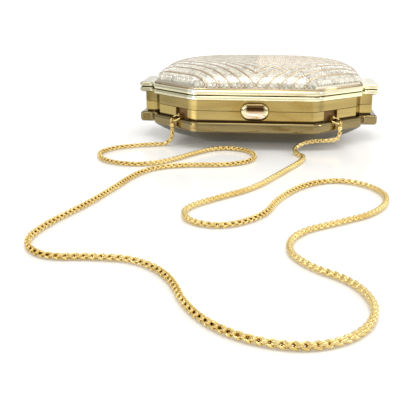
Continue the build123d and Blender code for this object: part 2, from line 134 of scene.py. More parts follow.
# %% The metals
gold = metal("champagne_gold", (0.72, 0.60, 0.32), (0.66, 0.53, 0.26), (0.08, 0.14))
gold_satin = metal("satin_gold", (0.62, 0.50, 0.24), (0.56, 0.44, 0.20), (0.20, 0.28), 0.02)
rib_gold = metal("rib_gold", (0.70, 0.58, 0.44), (0.62, 0.50, 0.36), (0.16, 0.26))
foil = metal("pale_foil", (0.80, 0.73, 0.60), (0.72, 0.65, 0.50), (0.22, 0.32))
# Painted shade: this gold is darkened to stand for the shadow under the bag.
painted_shade_underside_gold = metal("back_painted_shade", (0.22, 0.18, 0.10), (0.16, 0.13, 0.07), (0.16, 0.24))
chain_gold = metal("chain_gold", (0.90, 0.72, 0.34), (0.76, 0.56, 0.20), (0.05, 0.12))
steel = metal("spring_steel", (0.62, 0.61, 0.60), (0.48, 0.47, 0.46), (0.2, 0.35))

# %% [markdown]
# The casings are gilt metal with painted light and shade in bands over the height: a painted highlight
# on the upper rim, painted shade deeper on the wall and darkest on the lower rim, and painted shade as
# dark lines in the grooves between the reeds. A ramp over the height sets these bands.
# A second ramp over the width paints a highlight down the left front corner. On the front half it also
# paints shade on the left end and a dark reflection on a patch at the right corner.

# %% Casing metal, toned by height
TONE_HIGH = 40  # mm of height that the height ramp covers
TONE_HALF = 80  # mm from the middle to each end of the width ramp


def casing_metal(name, bands, across):
    """Metal with painted light and shade, set by (height in mm, colour) and (x in mm, brightness) stops."""
    material, nodes, links, shader = new_tree(name)
    place = nodes.new("ShaderNodeTexCoord")
    split = nodes.new("ShaderNodeSeparateXYZ")
    links.new(place.outputs["Object"], split.inputs["Vector"])
    height = nodes.new("ShaderNodeMapRange")
    height.inputs["From Max"].default_value = TONE_HIGH * MM
    links.new(split.outputs["Z"], height.inputs["Value"])
    # Painted light and shade by height: lit upper rim, shaded wall, lower rim and grooves.
    tone = ramp(nodes, links, height.outputs["Result"], [(mm / TONE_HIGH, colour) for mm, colour in bands])
    streaks = noise(nodes, links, 60, 3.0, (0.35, 0.35, 3.0))
    slow = ramp(nodes, links, streaks, [
        (0.3, (0.80, 0.76, 0.70)), (0.5, (1.0, 0.97, 0.93)), (0.7, (1.12, 1.1, 1.02))])
    width = nodes.new("ShaderNodeMapRange")
    width.inputs["From Min"].default_value = -TONE_HALF * MM
    width.inputs["From Max"].default_value = TONE_HALF * MM
    links.new(split.outputs["X"], width.inputs["Value"])
    # Painted highlight at the left front corner, and painted shade and reflection towards the ends and at the
    # right corner.
    painted_light_across = ramp(nodes, links, width.outputs["Result"], [
        ((mm + TONE_HALF) / (2 * TONE_HALF), (bright, bright, bright)) for mm, bright in across])
    for extra in (slow, painted_light_across):
        mix = nodes.new("ShaderNodeMix")
        mix.data_type = "RGBA"
        mix.blend_type = "MULTIPLY"
        mix.inputs["Factor"].default_value = 1.0
        links.new(tone, mix.inputs["A"])
        links.new(extra, mix.inputs["B"])
        tone = mix.outputs["Result"]
    links.new(tone, shader.inputs["Base Color"])
    fine = noise(nodes, links, 900, 4.0)
    links.new(spread(nodes, links, fine, 0.09, 0.17), shader.inputs["Roughness"])
    shader.inputs["Metallic"].default_value = 1.0
    bump(nodes, links, shader, fine, 0.012, 0.0001)
    return material


# Painted tones of one gold: a lit upper rim, a shaded wall, a darker shaded lower rim and shaded grooves.
PAINTED_LIT_RIM = (0.97, 0.93, 0.68)
PAINTED_SHADE_WALL = (0.50, 0.39, 0.15)
PAINTED_SHADE_BOTTOM_RIM = (0.29, 0.23, 0.11)
PAINTED_SHADE_GROOVE = (0.09, 0.055, 0.02)
# Front casing: painted bands by height; by width, a painted highlight at the left front corner and painted
# shade at the left end and right corner.
front_metal = casing_metal("front_casing_gold", [
    (23.0, PAINTED_SHADE_WALL), (29.9, PAINTED_SHADE_WALL), (30.1, PAINTED_LIT_RIM), (32.9, PAINTED_LIT_RIM), (33.1, PAINTED_SHADE_GROOVE), (33.4, PAINTED_SHADE_GROOVE),
    (33.6, PAINTED_LIT_RIM), (36.6, PAINTED_LIT_RIM)],
    [(-72, 0.48), (-69, 0.7), (-42, 0.72), (-38.5, 1.6), (-36.5, 1.6), (-35, 1.0),
     (37, 1.0), (40, 0.7), (43, 1.0), (70, 1.0), (72, 0.85)])
# Back casing: painted shade on the lower rim and groove; by width, a painted highlight at the left front
# corner and painted light towards the right.
back_metal = casing_metal("back_casing_gold", [
    (10.5, PAINTED_SHADE_BOTTOM_RIM), (16.4, PAINTED_SHADE_BOTTOM_RIM), (16.8, PAINTED_SHADE_GROOVE), (17.9, PAINTED_SHADE_GROOVE), (18.1, PAINTED_SHADE_WALL), (23.5, PAINTED_SHADE_WALL)],
    [(-70, 0.9), (-40, 1.0), (-38.5, 2.0), (-37, 2.0), (-35.5, 1.0), (40, 1.0), (55, 1.1), (70, 1.1)])
print("metals", [m.name for m in (gold, gold_satin, rib_gold, foil, painted_shade_underside_gold, chain_gold, steel)])
print("casings", front_metal.name, back_metal.name)

# %% [markdown]
# The crystals are cut glass with foil behind them. Clear glass over a foil would take long to
# trace, so a part-metal shader stands for the two together, and each stone has its own tone. The
# lining is a napped brown cloth: a soft sheen over a rough, bumped surface.

# %% Crystal and fabric
crystal, nodes, links, shader = new_tree("crystal")
geometry = nodes.new("ShaderNodeNewGeometry")
tone = ramp(nodes, links, geometry.outputs["Random Per Island"],
            [(0.0, (0.50, 0.47, 0.40)), (0.3, (0.72, 0.69, 0.60)), (1.0, (0.90, 0.88, 0.79))])
links.new(tone, shader.inputs["Base Color"])
links.new(spread(nodes, links, noise(nodes, links, 400), 0.10, 0.22), shader.inputs["Roughness"])
shader.inputs["Metallic"].default_value = 0.35
shader.inputs["IOR"].default_value = 1.6
shader.inputs["Coat Weight"].default_value = 0.35
shader.inputs["Coat Roughness"].default_value = 0.03

fabric, nodes, links, shader = new_tree("lining_fabric")
nap = noise(nodes, links, 2600, 5.0)
blotches = noise(nodes, links, 60)
links.new(ramp(nodes, links, blotches, [(0.3, (0.26, 0.14, 0.05)), (0.7, (0.36, 0.21, 0.08))]),
          shader.inputs["Base Color"])
links.new(spread(nodes, links, nap, 0.75, 0.95), shader.inputs["Roughness"])
shader.inputs["Sheen Weight"].default_value = 0.15
shader.inputs["Sheen Roughness"].default_value = 0.4
bump(nodes, links, shader, nap, 0.5, 0.0002)
print("crystal and fabric ready")

# %% [markdown]
# ## Shapes that the new pieces share
#
# The panel is an octagon. A point's distance from the nearest edge gives its height on the dome,
# so the crystals, the ribs and the bed all follow one surface. The linings and the back panel
# follow octagon rings of the same family.

# %% The octagon and the domes
PANEL_ENDS = 53.0 * MM  # from the middle to the clasp's and the hinge's edges
PANEL_CUTS = 63.468 * MM  # to the four corner cuts
PANEL_SIDES = 66.7 * MM
PANEL_EDGES = [(0.0, 1.0, PANEL_ENDS), (math.sqrt(0.5), math.sqrt(0.5), PANEL_CUTS), (1.0, 0.0, PANEL_SIDES)]
CORNER_EASE = 9.0 * MM
FRONT_RIM = 36.5 * MM
BACK_RIM = 10.5 * MM
SEAM = 23.5 * MM
FRONT_SHOULDER = 28.0 * MM
BACK_SHOULDER = 29.0 * MM
CROWN = 14.0 * MM
BACK_DEPTH = 10.5 * MM


def edge_distance(x, y):
    """Distance inwards from the panel's nearest edge."""
    return min(reach - (nx * abs(x) + ny * abs(y)) for nx, ny, reach in PANEL_EDGES)


def soft_distance(x, y):
    """The same distance, with the corners between two edges eased over a few millimetres."""
    gaps = sorted(reach - (nx * abs(x) + ny * abs(y)) for nx, ny, reach in PANEL_EDGES)
    ease = min(CORNER_EASE, 1.2 * max(gaps[0], 0.0))
    if ease <= 0 or gaps[1] - gaps[0] >= ease:
        return gaps[0]
    share = 1 - (gaps[1] - gaps[0]) / ease
    return gaps[0] - ease * share * share / 4


def dome_height(x, y):
    """Height of the stone-set dome above its rim."""
    inwards = max(soft_distance(x, y), 0.0)
    if inwards >= FRONT_SHOULDER:
        return CROWN
    return CROWN * math.sqrt(1 - ((FRONT_SHOULDER - inwards) / FRONT_SHOULDER) ** 2)


def front_point(x, y):
    """A point on the outside of the stone-set front."""
    return Vector((x, y, FRONT_RIM + dome_height(x, y)))


def front_normal(x, y):
    """The outward direction there, from two short steps."""
    step = 0.15 * MM
    across = front_point(x + step, y) - front_point(x - step, y)
    along = front_point(x, y + step) - front_point(x, y - step)
    return across.cross(along).normalized()


def octagon_corners(inset, side=0.0):
    """The eight corners of the panel, moved inwards, with side more at the two sides."""
    y1 = PANEL_EDGES[0][2] - inset
    x2 = PANEL_EDGES[2][2] - inset - side
    cut = (PANEL_EDGES[1][2] - inset) * math.sqrt(2)
    quarter = [(cut - y1, y1), (x2, cut - x2)]
    right = quarter + [(x, -y) for x, y in reversed(quarter)]
    return right + [(-x, y) for x, y in reversed(right)]


def add_mesh(name, verts, faces, material, smooth=True):
    """Makes a mesh object from lists, with its material."""
    mesh = bpy.data.meshes.new(name)
    mesh.from_pydata([tuple(v) for v in verts], [], faces)
    mesh.validate()
    shape = bmesh.new()
    shape.from_mesh(mesh)
    bmesh.ops.recalc_face_normals(shape, faces=shape.faces)
    shape.to_mesh(mesh)
    shape.free()
    mesh.polygons.foreach_set("use_smooth", [smooth] * len(mesh.polygons))
    obj = bpy.data.objects.new(name, mesh)
    bpy.context.scene.collection.objects.link(obj)
    mesh.materials.append(material)
    return obj


def sweep(verts, faces, centres, sides, ups, profile, closed):
    """Adds a tube to verts and faces: profile holds (sideways, upwards) pairs, all round."""
    start = len(verts)
    count = len(profile)
    for centre, side, up in zip(centres, sides, ups):
        for u, v in profile:
            verts.append(centre + side * u + up * v)
    rings = len(centres)
    for i in range(rings if closed else rings - 1):
        a = start + i * count
        b = start + ((i + 1) % rings) * count
        for j in range(count):
            k = (j + 1) % count
            faces.append((a + j, a + k, b + k, b + j))
    if not closed:
        faces.append(tuple(start + j for j in reversed(range(count))))
        faces.append(tuple(start + (rings - 1) * count + j for j in range(count)))


print("crown", round(front_point(0, 0).z, 4), "corners", len(octagon_corners(0)))

# %% [markdown]
# ## Ribs
#
# The ribs are V lines, 7.5 mm apart, with their points towards the clasp. Each is a narrow bar
# with bevelled top edges, laid along the dome. They could be curves with a bevel, but sweeping one
# short profile keeps each rib upright on the dome. A low border ties them together.

# %% Rib lines and the border
ROW_PITCH = 7.5 * MM
ROWS = range(-17, 8)
ARM_REACH = 66 * MM
RIB_HALF = 0.48 * MM
RIB_PROFILE = [(-RIB_HALF, -0.5 * MM), (-RIB_HALF, -0.12 * MM), (-0.6 * RIB_HALF, 0.08 * MM),
               (0.6 * RIB_HALF, 0.08 * MM), (RIB_HALF, -0.12 * MM), (RIB_HALF, -0.5 * MM)]


def row_points(tip, side, step):
    """Points along one arm of the V that starts at tip, from the middle outwards."""
    found = []
    x = 0.0
    while x < ARM_REACH:
        y = tip + x
        if edge_distance(x, y) > 0.02 * MM:
            found.append((side * x, y))
        x += step if edge_distance(x, y) > 4 * MM else step / 6
    return found


verts, faces = [], []
rows = 0
for row in ROWS:
    for side in (-1, 1):
        line = row_points(row * ROW_PITCH, side, 1.0 * MM)
        if len(line) < 4:
            continue
        centres = [front_point(x, y) for x, y in line]
        ups = [front_normal(x, y) for x, y in line]
        sides = []
        for i in range(len(line)):
            ahead = centres[min(i + 1, len(line) - 1)] - centres[max(i - 1, 0)]
            sides.append(ahead.normalized().cross(ups[i]).normalized())
        sweep(verts, faces, centres, sides, ups, RIB_PROFILE, False)
        rows += 1
corners = octagon_corners(0.35 * MM)
border_profile = [(-0.3 * MM, 0.0), (-0.3 * MM, 0.95 * MM), (0.0, 1.15 * MM),
                  (0.34 * MM, 0.95 * MM), (0.34 * MM, 0.0)]
centres = [Vector((x, y, FRONT_RIM)) for x, y in corners]
outwards = []
for i, centre in enumerate(centres):
    before = (centres[i] - centres[i - 1]).normalized()
    after = (centres[(i + 1) % 8] - centres[i]).normalized()
    turn = before.cross(after).z
    half = (before - after).normalized()
    outwards.append(half / max(abs(half.dot(Vector((before.y, -before.x, 0)))), 0.3))
sweep(verts, faces, centres, outwards, [Vector((0, 0, 1))] * 8, border_profile, True)
ribs = add_mesh("rib_lattice", verts, faces, rib_gold)
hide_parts("front_ribs")
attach(ribs, "lid")
print("rib arms", rows, "faces", len(ribs.data.polygons))

# %% [markdown]
# ## Crystals
#
# Two rows of small cut stones fill the band between two ribs. Instances of one stone would be
# lighter, but writing out every stone lets each take its own width, turn and slight lean. Steps
# along a row are measured on the dome itself, so the stones stay evenly spaced where it turns down.

# %% One cut stone, laid in its row
STONE_STEP = 2.25 * MM
CUT_SIDES = 8


def add_stone(verts, faces, centre, along, across, up, half_long, half_wide):
    """A cut stone: flat table, a belt of sloping facets, a girdle and a short base."""
    start = len(verts)
    levels = [(0.52, 0.0), (0.97, -0.52), (0.90, -0.80)]
    phase = random.uniform(0, 1)
    for share, depth in levels:
        for i in range(CUT_SIDES):
            turn = 2 * math.pi * (i + phase) / CUT_SIDES
            spread_along = along * (half_long * share * 1.06 * math.cos(turn))
            spread_across = across * (half_wide * share * 1.06 * math.sin(turn))
            verts.append(centre + spread_along + spread_across + up * (depth * MM))
    faces.append(tuple(start + i for i in range(CUT_SIDES)))
    for level in range(2):
        a = start + level * CUT_SIDES
        b = a + CUT_SIDES
        for i in range(CUT_SIDES):
            j = (i + 1) % CUT_SIDES
            if level == 0:
                faces.append((a + i, b + i, b + j))
                faces.append((a + i, b + j, a + j))
            else:
                faces.append((a + i, b + i, b + j, a + j))
    faces.append(tuple(start + 2 * CUT_SIDES + i for i in reversed(range(CUT_SIDES))))


# %% All the rows
verts, faces = [], []
stones = 0
for row in ROWS:
    for part in (0.29, 0.71):
        level = (row + part) * ROW_PITCH
        for side in (-1, 1):
            x = 0.8 * MM
            while x < ARM_REACH:
                y = level + x
                inwards = edge_distance(x, y)
                if inwards < 0.5 * MM:
                    x += 0.05 * MM
                    continue
                here = front_point(side * x, y)
                small = 0.1 * MM
                ahead = front_point(side * (x + small), y + small) - here
                stretch = ahead.length / small
                up = front_normal(side * x, y)
                along = ahead.normalized()
                across = up.cross(along).normalized()
                inner = front_point(side * (x - small), y + small)
                wide = abs((inner - here).dot(across)) / (small * math.sqrt(2))
                half_wide = min(1.10 * MM * wide, 2.0 * MM)
                lean = Vector((random.uniform(-1, 1), random.uniform(-1, 1), random.uniform(-1, 1))) * 0.06
                lifted = (up + lean).normalized()
                add_stone(verts, faces, here - up * 0.08 * MM, along, across, lifted, 1.08 * MM, half_wide)
                stones += 1
                x += STONE_STEP / stretch
crystals = add_mesh("crystal_rows", verts, faces, crystal, smooth=False)
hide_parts("front_crystals")
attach(crystals, "lid")
print("stones", stones, "faces", len(crystals.data.polygons))

# %% [markdown]
# Between the stones the real panel shows pale foil, which keeps the gaps light. It is made as a
# thin skin just below the stones' tables, because a painted colour would leave the gaps deep.

# %% The bed that the stones are set in
BED_RINGS = 34
BED_SPLIT = 10
BED_DEEP = 0.42 * MM
verts, faces = [], []
corners = octagon_corners(0.9 * MM)
outline = []
for i in range(8):
    after = Vector(corners[(i + 1) % 8])
    outline += [Vector(corners[i]).lerp(after, j / BED_SPLIT) for j in range(BED_SPLIT)]
around = len(outline)
for ring in range(BED_RINGS):
    share = 1 - (ring / (BED_RINGS - 1)) ** 1.7 * 0.985
    for point in outline:
        x, y = point.x * share, point.y * share
        verts.append(front_point(x, y) - front_normal(x, y) * BED_DEEP)
for ring in range(BED_RINGS - 1):
    for i in range(around):
        j = (i + 1) % around
        a, b = ring * around, (ring + 1) * around
        faces.append((a + i, a + j, b + j, b + i))
faces.append(tuple((BED_RINGS - 1) * around + i for i in range(around)))
bed = add_mesh("stone_bed", verts, faces, foil)
solid = bed.modifiers.new("thickness", "SOLIDIFY")
solid.thickness = 0.3 * MM
solid.offset = -1
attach(bed, "lid")
print("bed faces", len(bed.data.polygons))

# %% [markdown]
# ## Back panel and linings
#
# A dome skin is made of octagons, one above the other, with faces from each to the next. Lofting
# between them is enough, because these surfaces have no pattern of their own. The back panel is
# gold metal darkened as painted shade for the shadow under the bag. Each lining is cloth on a stiff board,
# cut away where the clasp works.

# %% Dome skins
SIDE_SHARES = (0.0, 0.08, 0.2, 0.35, 0.5, 0.65, 0.8, 0.92)  # of the way from the seam to the rim
SEAM_GAP = 0.35 * MM
LINING_INSET = 3.3 * MM
LINING_SIDE = 1.2 * MM


def dome_rings(base, rise, inset, sign, shoulder, swell, count=14, side=0.0):
    """Octagon rings of a dome, from the border to the middle."""
    rings = []
    for i in range(count + 1):
        turn = math.radians(90) * i / count
        level = base + sign * rise * math.sin(turn) ** swell
        corners = octagon_corners(inset + shoulder * (1 - math.cos(turn)), side)
        rings.append([Vector((x, y, level)) for x, y in corners])
    return rings


def split_ring(ring, parts):
    """More points along each of the eight sides."""
    found = []
    for i, corner in enumerate(ring):
        after = ring[(i + 1) % len(ring)]
        found += [corner.lerp(after, j / parts) for j in range(parts)]
    return found


def skin(name, rings, thick, material, parts=8, keep=None):
    """A closed skin over the rings, thick metres deep, inwards."""
    rings = [split_ring(ring, parts) for ring in rings]
    count = len(rings[0])
    verts = [point for ring in rings for point in ring]
    faces = []
    for i in range(len(rings) - 1):
        for j in range(count):
            k = (j + 1) % count
            face = (i * count + j, i * count + k, (i + 1) * count + k, (i + 1) * count + j)
            middle = sum((verts[v] for v in face), Vector()) / 4
            if keep is None or keep(middle):
                faces.append(face)
    faces.append(tuple((len(rings) - 1) * count + j for j in range(count)))
    obj = add_mesh(name, verts, faces, material)
    solid = obj.modifiers.new("thickness", "SOLIDIFY")
    solid.thickness = thick
    solid.offset = -1
    return obj


back_rings = dome_rings(BACK_RIM, BACK_DEPTH, 0.0, -1, BACK_SHOULDER, 2, 20)
back_rings = [list(reversed(ring)) for ring in back_rings]
# The back shell takes the gold darkened as painted shade.
back_skin = skin("back_shell", back_rings, 1.0 * MM, painted_shade_underside_gold)
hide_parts("back_panel")
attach(back_skin, "case")


def clear_of_clasp(middle):
    """True away from the clasp's room."""
    return not (abs(middle.x) < 17.5 * MM and middle.y < -40.5 * MM and abs(middle.z - SEAM) < 6.4 * MM)


def lining(name, body, base, rise, sign, node, shoulder, swell):
    """Straight sides from the seam to the rim, then a dome, with square edges."""
    sides = []
    for share in SIDE_SHARES:
        level = SEAM + sign * (SEAM_GAP + share * (abs(base - SEAM) - SEAM_GAP))
        sides.append([Vector((x, y, level)) for x, y in octagon_corners(LINING_INSET, LINING_SIDE)])
    rings = sides + dome_rings(base, rise, LINING_INSET, sign, shoulder, swell, 14, LINING_SIDE)
    if sign < 0:
        rings = [list(reversed(ring)) for ring in rings]
    obj = skin(name, rings, 1.0 * MM, fabric, 16, clear_of_clasp)
    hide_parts(node)
    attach(obj, body)
    return obj


front_lining = lining("front_lining_cloth", "lid", FRONT_RIM, 11.0 * MM, 1, "front_lining", FRONT_SHOULDER, 1)
back_lining = lining("back_lining_cloth", "case", BACK_RIM, 8.7 * MM, -1, "back_lining", BACK_SHOULDER, 2)
print("skins", [o.name for o in (back_skin, front_lining, back_lining)])

# %% [markdown]
# ## Clasp
#
# The push button is a polished pill with a domed face. A box with bevels could make it, but stacked
# outlines round the face more evenly into its straight sides. Its metal carries a painted reflection in
# bands: dark above the middle, and painted highlights below and at both ends. Two coil springs stand behind
# the hook plate.
# Each is one wire swept round a helix.

# %% The button's shape
low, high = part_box("clasp_button")
half_long = (high[0] - low[0]) / 2
half_high = (high[2] - low[2]) / 2
face_y = low[1]
verts, faces = [], []
around = 64
levels = [(1.0, 3.0), (1.0, 2.0), (0.985, 1.55), (0.93, 1.05),
          (0.83, 0.62), (0.68, 0.30), (0.48, 0.1), (0.25, 0.0)]
straight = half_long - half_high
for share, depth in levels:
    for i in range(around):
        turn = 2 * math.pi * i / around
        shift = straight if math.cos(turn) > 0 else -straight
        x = shift * (0.55 + 0.45 * share) + half_high * share * math.cos(turn)
        z = SEAM + half_high * share * math.sin(turn)
        verts.append(Vector((x, face_y + depth * MM, z)))
for level in range(len(levels) - 1):
    for i in range(around):
        j = (i + 1) % around
        a = level * around
        b = a + around
        faces.append((a + i, b + i, b + j, a + j))
faces.append(tuple((len(levels) - 1) * around + i for i in range(around)))
faces.append(tuple(reversed(range(around))))
STEM = ((-4, -4.7), (4, -4.7), (4, -1.3), (-4, -1.3))  # its section, in mm from the seam's middle
start = len(verts)
for y in (face_y + 2.9 * MM, high[1]):
    for x, z in STEM:
        verts.append(Vector((x * MM, y, SEAM + z * MM)))
for i in range(4):
    j = (i + 1) % 4
    faces.append((start + i, start + j, start + 4 + j, start + 4 + i))
faces.append(tuple(start + i for i in (3, 2, 1, 0)))
faces.append(tuple(start + 4 + i for i in range(4)))
print("button", round(2 * half_long / MM, 1), "by", round(2 * half_high / MM, 1), "mm")

# %% The button's metal
# Painted reflection: a dark band above the middle, with painted highlights below it and at both ends.
pill_painted_reflection, nodes, links, shader = new_tree("pill_painted_reflection")
place = nodes.new("ShaderNodeTexCoord")
split = nodes.new("ShaderNodeSeparateXYZ")
links.new(place.outputs["Object"], split.inputs["Vector"])
rise = nodes.new("ShaderNodeMapRange")
rise.inputs["From Min"].default_value = SEAM - half_high
rise.inputs["From Max"].default_value = SEAM + half_high
links.new(split.outputs["Z"], rise.inputs["Value"])
# Painted reflection by height: a pale highlight below the middle and a dark band above it.
tone = ramp(nodes, links, rise.outputs["Result"], [
    (0.0, (0.62, 0.50, 0.24)), (0.14, (0.80, 0.66, 0.46)), (0.38, (0.96, 0.88, 0.80)),
    (0.50, (0.70, 0.52, 0.34)), (0.58, (0.10, 0.05, 0.02)), (0.86, (0.12, 0.06, 0.02)),
    (0.93, (0.85, 0.72, 0.40)), (1.0, (0.70, 0.58, 0.30))])
reach = nodes.new("ShaderNodeMapRange")
reach.inputs["From Min"].default_value = -half_long
reach.inputs["From Max"].default_value = half_long
links.new(split.outputs["X"], reach.inputs["Value"])
# Painted highlights at both ends.
ends = ramp(nodes, links, reach.outputs["Result"], [
    (0.0, (1, 1, 1)), (0.16, (1, 1, 1)), (0.24, (0, 0, 0)),
    (0.80, (0, 0, 0)), (0.9, (0.8, 0.8, 0.8)), (1.0, (1, 1, 1))])
mix = nodes.new("ShaderNodeMix")
mix.data_type = "RGBA"
links.new(ends, mix.inputs["Factor"])
links.new(tone, mix.inputs["A"])
mix.inputs["B"].default_value = (0.95, 0.85, 0.52, 1)
links.new(mix.outputs["Result"], shader.inputs["Base Color"])
links.new(spread(nodes, links, noise(nodes, links, 500), 0.07, 0.13), shader.inputs["Roughness"])
shader.inputs["Metallic"].default_value = 1.0
button = add_mesh("button_pill", verts, faces, pill_painted_reflection)
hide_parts("clasp_button")
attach(button, "clasp")
print("button faces", len(button.data.polygons))

# %% The springs
SPRING_X = 3.5 * MM
SPRING_RADIUS = 1.3 * MM
SPRING_TURNS = 7
low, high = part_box("clasp_springs")
verts, faces = [], []
wire = 0.2 * MM
for side in (-1, 1):
    centre_x = side * SPRING_X
    centre_z = (low[2] + high[2]) / 2
    radius = SPRING_RADIUS - wire
    centres, sides, ups = [], [], []
    steps = 150
    for i in range(steps + 1):
        turn = 2 * math.pi * SPRING_TURNS * i / steps
        y = low[1] + wire + (high[1] - low[1] - 2 * wire) * i / steps
        out = Vector((math.cos(turn), 0, math.sin(turn)))
        centres.append(Vector((centre_x, y, centre_z)) + out * radius)
        sides.append(out)
        ups.append(Vector((0, 1, 0)))
    ring = [(wire * math.cos(a * math.pi / 3), wire * math.sin(a * math.pi / 3)) for a in range(6)]
    sweep(verts, faces, centres, sides, ups, ring, False)
springs = add_mesh("coil_springs", verts, faces, steel)
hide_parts("clasp_springs")
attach(springs, "case")
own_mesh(springs)
print("spring length", round((high[1] - low[1]) / MM, 1), "mm, turns", SPRING_TURNS)

# %% [markdown]
# ## Rings and chain ends
#
# A jump ring hangs in each lug, and a turned cap with a small loop holds the chain's last link.
# The cap is one profile spun round its middle, as a lathe would turn it.

# %% Jump rings and caps
def ring_mesh(verts, faces, centre, side, up, radius, wire, parts=48, sides=12):
    """A round wire ring in the plane of side and up."""
    normal = side.cross(up).normalized()
    centres, outs, normals = [], [], []
    for i in range(parts):
        turn = 2 * math.pi * i / parts
        out = side * math.cos(turn) + up * math.sin(turn)
        centres.append(centre + out * radius)
        outs.append(out)
        normals.append(normal)
    turns = [2 * math.pi * a / sides for a in range(sides)]
    circle = [(wire * math.cos(turn), wire * math.sin(turn)) for turn in turns]
    sweep(verts, faces, centres, outs, normals, circle, True)


TILT = math.radians(24)
# The cap's profile, as (radius, height) in millimetres.
CAP_PROFILE = [(0.0, 0.0), (1.35, 0.0), (1.65, 0.1), (1.78, 0.3), (1.78, 0.6), (1.55, 0.7), (1.55, 0.9),
               (1.78, 1.0), (1.78, 1.8), (1.65, 2.15), (1.3, 2.4), (0.8, 2.5), (0.0, 2.5)]
for name, side in (("left", -1), ("right", 1)):
    low, high = (Vector(corner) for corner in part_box("jump_ring_" + name))
    middle = (low + high) / 2
    away = Vector((side, -1, 0)).normalized()
    level = Vector((1, side, 0)).normalized()
    slope = Vector((away.x * math.cos(TILT), away.y * math.cos(TILT), -math.sin(TILT)))
    verts, faces = [], []
    ring_mesh(verts, faces, middle, level, slope, 3.4 * MM, 0.52 * MM)
    jump = add_mesh("jump_ring_wire_" + name, verts, faces, chain_gold)
    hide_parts("jump_ring_" + name)
    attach(jump, "case")

    low, high = (Vector(corner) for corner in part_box("chain_end_" + name))
    centre = (low + high) / 2
    verts, faces = [], []
    parts = 28
    for radius, height in CAP_PROFILE:
        for i in range(parts):
            turn = 2 * math.pi * i / parts
            around_x = centre.x + max(radius, 0.02) * MM * math.cos(turn)
            around_y = centre.y + max(radius, 0.02) * MM * math.sin(turn)
            verts.append(Vector((around_x, around_y, low.z + height * MM)))
    for i in range(len(CAP_PROFILE) - 1):
        for j in range(parts):
            k = (j + 1) % parts
            a, b = i * parts, (i + 1) * parts
            faces.append((a + j, a + k, b + k, b + j))
    faces.append(tuple(reversed(range(parts))))
    faces.append(tuple((len(CAP_PROFILE) - 1) * parts + i for i in range(parts)))
    top = Vector((centre.x, centre.y, high.z - 1.77 * MM))
    ring_mesh(verts, faces, top, away, Vector((0, 0, 1)), 1.35 * MM, 0.4 * MM, 32, 10)
    cap = add_mesh("chain_cap_" + name, verts, faces, chain_gold)
    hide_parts("chain_end_" + name)
    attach(cap, "case")
    print(name, "ring middle", [round(v / MM, 1) for v in middle], "cap", [round(v / MM, 1) for v in centre])

# %% [markdown]
# ## Chain
#
# The route is a smooth spline with these control points, in millimetres. It leaves the left cap,
# lies on the surface in loose curves and comes back up into the right cap.

# %% The chain's line
LIE = 1.5
ROUTE = [
    (-51.8, -45.8, 11.9), (-51.8, -45.8, 6.0), (-55.4, -47.6, LIE), (-61.5, -49.4, LIE),
    (-73.0, -54.5, LIE), (-85.5, -63.0, LIE), (-91.5, -77.0, LIE), (-87.0, -93.0, LIE),
    (-75.0, -104.5, LIE), (-59.0, -106.5, LIE), (-45.5, -94.0, LIE), (-33.5, -71.0, LIE),
    (-22.0, -56.5, LIE), (-6.5, -58.5, LIE), (2.5, -74.0, LIE), (0.0, -92.0, LIE),
    (-13.5, -102.5, LIE), (-33.0, -104.0, LIE), (-50.0, -111.0, LIE), (-59.5, -129.0, LIE),
    (-64.0, -158.0, LIE), (-70.0, -189.0, LIE), (-79.0, -219.0, LIE), (-81.0, -243.0, LIE),
    (-68.5, -259.0, LIE), (-49.0, -256.5, LIE), (-32.5, -258.0, LIE), (-18.0, -273.0, LIE),
    (-9.0, -300.0, LIE), (6.0, -317.5, LIE), (27.0, -324.0, LIE), (43.5, -314.0, LIE),
    (50.5, -294.0, LIE), (45.0, -272.0, LIE), (29.0, -258.5, LIE), (21.0, -240.0, LIE),
    (26.0, -219.0, LIE), (43.0, -204.5, LIE), (60.5, -188.5, LIE), (69.0, -164.0, LIE),
    (64.0, -142.0, LIE), (47.5, -129.5, LIE), (30.0, -140.5, LIE), (16.5, -170.0, LIE),
    (12.0, -197.0, LIE), (-4.0, -216.0, LIE), (-20.5, -210.0, LIE), (-25.5, -191.0, LIE),
    (-13.0, -172.5, LIE), (5.0, -151.5, LIE), (18.0, -117.0, LIE), (28.0, -91.0, LIE),
    (30.5, -78.0, LIE), (25.8, -68.8, LIE), (24.4, -60.4, 2.6), (29.0, -53.2, 4.5),
    (36.4, -51.0, 5.8), (44.0, -50.5, 6.1), (49.3, -47.9, 6.1), (51.8, -45.8, 8.2),
    (51.8, -45.8, 11.9),
]
line = bpy.data.curves.new("chain_line", "CURVE")
line.dimensions = "3D"
spline = line.splines.new("NURBS")
spline.points.add(len(ROUTE) - 1)
for point, (x, y, z) in zip(spline.points, ROUTE):
    point.co = (x * MM, y * MM, z * MM, 1)
spline.order_u = 3
spline.use_endpoint_u = True
spline.resolution_u = 16
line_object = bpy.data.objects.new("chain_line", line)
bpy.context.scene.collection.objects.link(line_object)
bpy.context.view_layer.update()
line_mesh = bpy.data.meshes.new_from_object(line_object)
path = [vertex.co.copy() for vertex in line_mesh.vertices]
bpy.data.objects.remove(line_object)
length = sum((b - a).length for a, b in zip(path, path[1:]))
print("chain points", len(path), "length", round(length, 4), "m")

# %% [markdown]
# Every link is a wire loop folded into a U, and each next link is turned a quarter turn, so that
# four sides of the chain show the same pattern. Copies of one link along a curve could twist where
# it bends, so each link is made where it lies, in a frame that stays level along the chain.

# %% Places along the line
LINK_STEP = 1.66 * MM
distances = [0.0]
for a, b in zip(path, path[1:]):
    distances.append(distances[-1] + (b - a).length)


def along_path(wanted):
    """The point and direction at a distance along the line."""
    wanted = min(max(wanted, 0.0), distances[-1])
    left = range(along_path.last, len(distances) - 1)
    index = next((i for i in left if distances[i + 1] >= wanted), len(distances) - 2)
    along_path.last = max(index - 2, 0)
    a, b = path[index], path[index + 1]
    share = (wanted - distances[index]) / max(distances[index + 1] - distances[index], 1e-9)
    return a.lerp(b, share), (b - a).normalized()


along_path.last = 0

